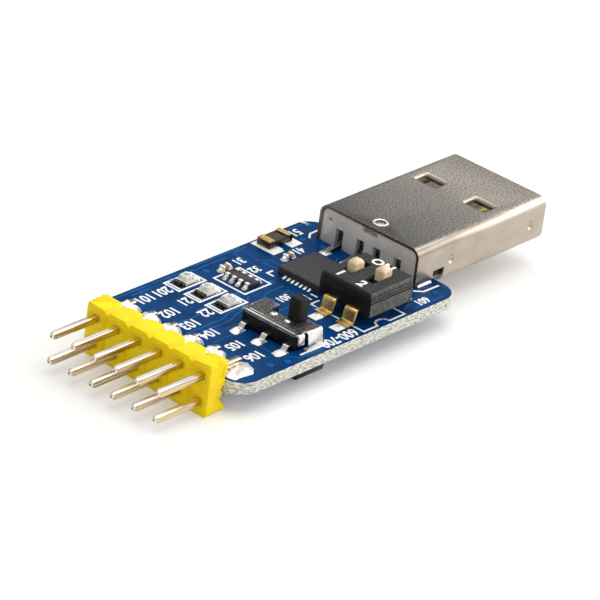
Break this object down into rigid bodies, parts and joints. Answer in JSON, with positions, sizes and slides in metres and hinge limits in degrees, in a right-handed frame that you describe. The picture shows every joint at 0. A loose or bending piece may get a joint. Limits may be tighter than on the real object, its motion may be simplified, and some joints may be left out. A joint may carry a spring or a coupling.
{
  "type": "usb to serial adapter module",
  "caption": "Small circuit board that joins a flat rectangular plug to a right-angle double-row pin header, with a slide switch and a two-way switch that choose the serial levels.",
  "frame": {"origin": "middle of the overall box, on the plane that the pin header insulator stands on", "axes": "+X from the pin header towards the plug, +Z out of the top face of the board"},
  "size_m": [0.054, 0.0184, 0.0074],
  "materials": {
    "board_laminate": "blue mask over glass laminate",
    "header_plastic": "moulded, yellow",
    "header_pins": "tin plated",
    "solder": "reflowed, bright",
    "plug_steel": "nickel plated sheet",
    "plug_plastic": "moulded, grey",
    "contact_gold": "gold flash",
    "switch_plastic": "moulded, black",
    "slider_plastic": "moulded, cream",
    "lead_gold": "gold flash",
    "switch_steel": "tin plated sheet",
    "switch_terminals": "tin plated",
    "chip_epoxy": "moulded epoxy",
    "chip_leads": "tin plated",
    "lamp_carrier": "white laminate",
    "lamp_resin": "clear resin over the phosphor",
    "resistor_ceramic": "glass coat on alumina",
    "capacitor_ceramic": "fired ceramic",
    "fuse_laminate": "polymer laminate",
    "end_caps": "tinned"
  },
  "bodies": {
    "board": {"bridge_chip_body": "chip_epoxy", "bridge_chip_toes": "chip_leads", "bus_driver_body": "chip_epoxy", "bus_driver_leads": "chip_leads", "circuit_board": "board_laminate", "dip_base": "switch_plastic", "dip_lead_1": "lead_gold", "dip_lead_2": "lead_gold", "dip_lead_3": "lead_gold", "dip_lead_4": "lead_gold", "dip_lid": "switch_plastic", "fuse_body": "fuse_laminate", "fuse_caps": "lead_gold", "header_insulator": "header_plastic", "header_solder_top": "solder", "header_solder_under": "solder", "lamp_base_1": "lamp_carrier", "lamp_base_2": "lamp_carrier", "lamp_base_3": "lamp_carrier", "lamp_ends": "end_caps", "lamp_lens_1": "lamp_resin", "lamp_lens_2": "lamp_resin", "lamp_lens_3": "lamp_resin", "line_driver_body": "chip_epoxy", "line_driver_leads": "chip_leads", "pads_top": "solder", "pads_under": "solder", "pin_bottom_1": "header_pins", "pin_bottom_2": "header_pins", "pin_bottom_3": "header_pins", "pin_bottom_4": "header_pins", "pin_bottom_5": "header_pins", "pin_bottom_6": "header_pins", "pin_top_1": "header_pins", "pin_top_2": "header_pins", "pin_top_3": "header_pins", "pin_top_4": "header_pins", "pin_top_5": "header_pins", "pin_top_6": "header_pins", "plug_contact_1": "contact_gold", "plug_contact_2": "contact_gold", "plug_contact_3": "contact_gold", "plug_contact_4": "contact_gold", "plug_insulator": "plug_plastic", "plug_leg_solder": "solder", "plug_shell": "plug_steel", "resistor_array_body": "resistor_ceramic", "resistor_array_caps": "end_caps", "slide_base": "switch_plastic", "slide_cover": "switch_steel", "slide_terminals": "switch_terminals", "small_chip_bodies": "capacitor_ceramic", "small_chip_caps": "end_caps", "under_chip_bodies": "capacitor_ceramic", "under_chip_caps": "end_caps"},
    "dip_slider_1": {"dip_slider_1": "slider_plastic"},
    "dip_slider_2": {"dip_slider_2": "slider_plastic"},
    "slide_knob": {"slide_knob": "switch_plastic"}
  },
  "joints": [
    {"name": "dip_slide_1", "type": "slide", "parent": "board", "child": "dip_slider_1", "axis": [1, 0, 0], "range_m": [0, 0.0009]},
    {"name": "dip_slide_2", "type": "slide", "parent": "board", "child": "dip_slider_2", "axis": [1, 0, 0], "range_m": [-0.0009, 0]},
    {"name": "knob_slide", "type": "slide", "parent": "board", "child": "slide_knob", "axis": [0, 1, 0], "range_m": [0, 0.002]}
  ]
}
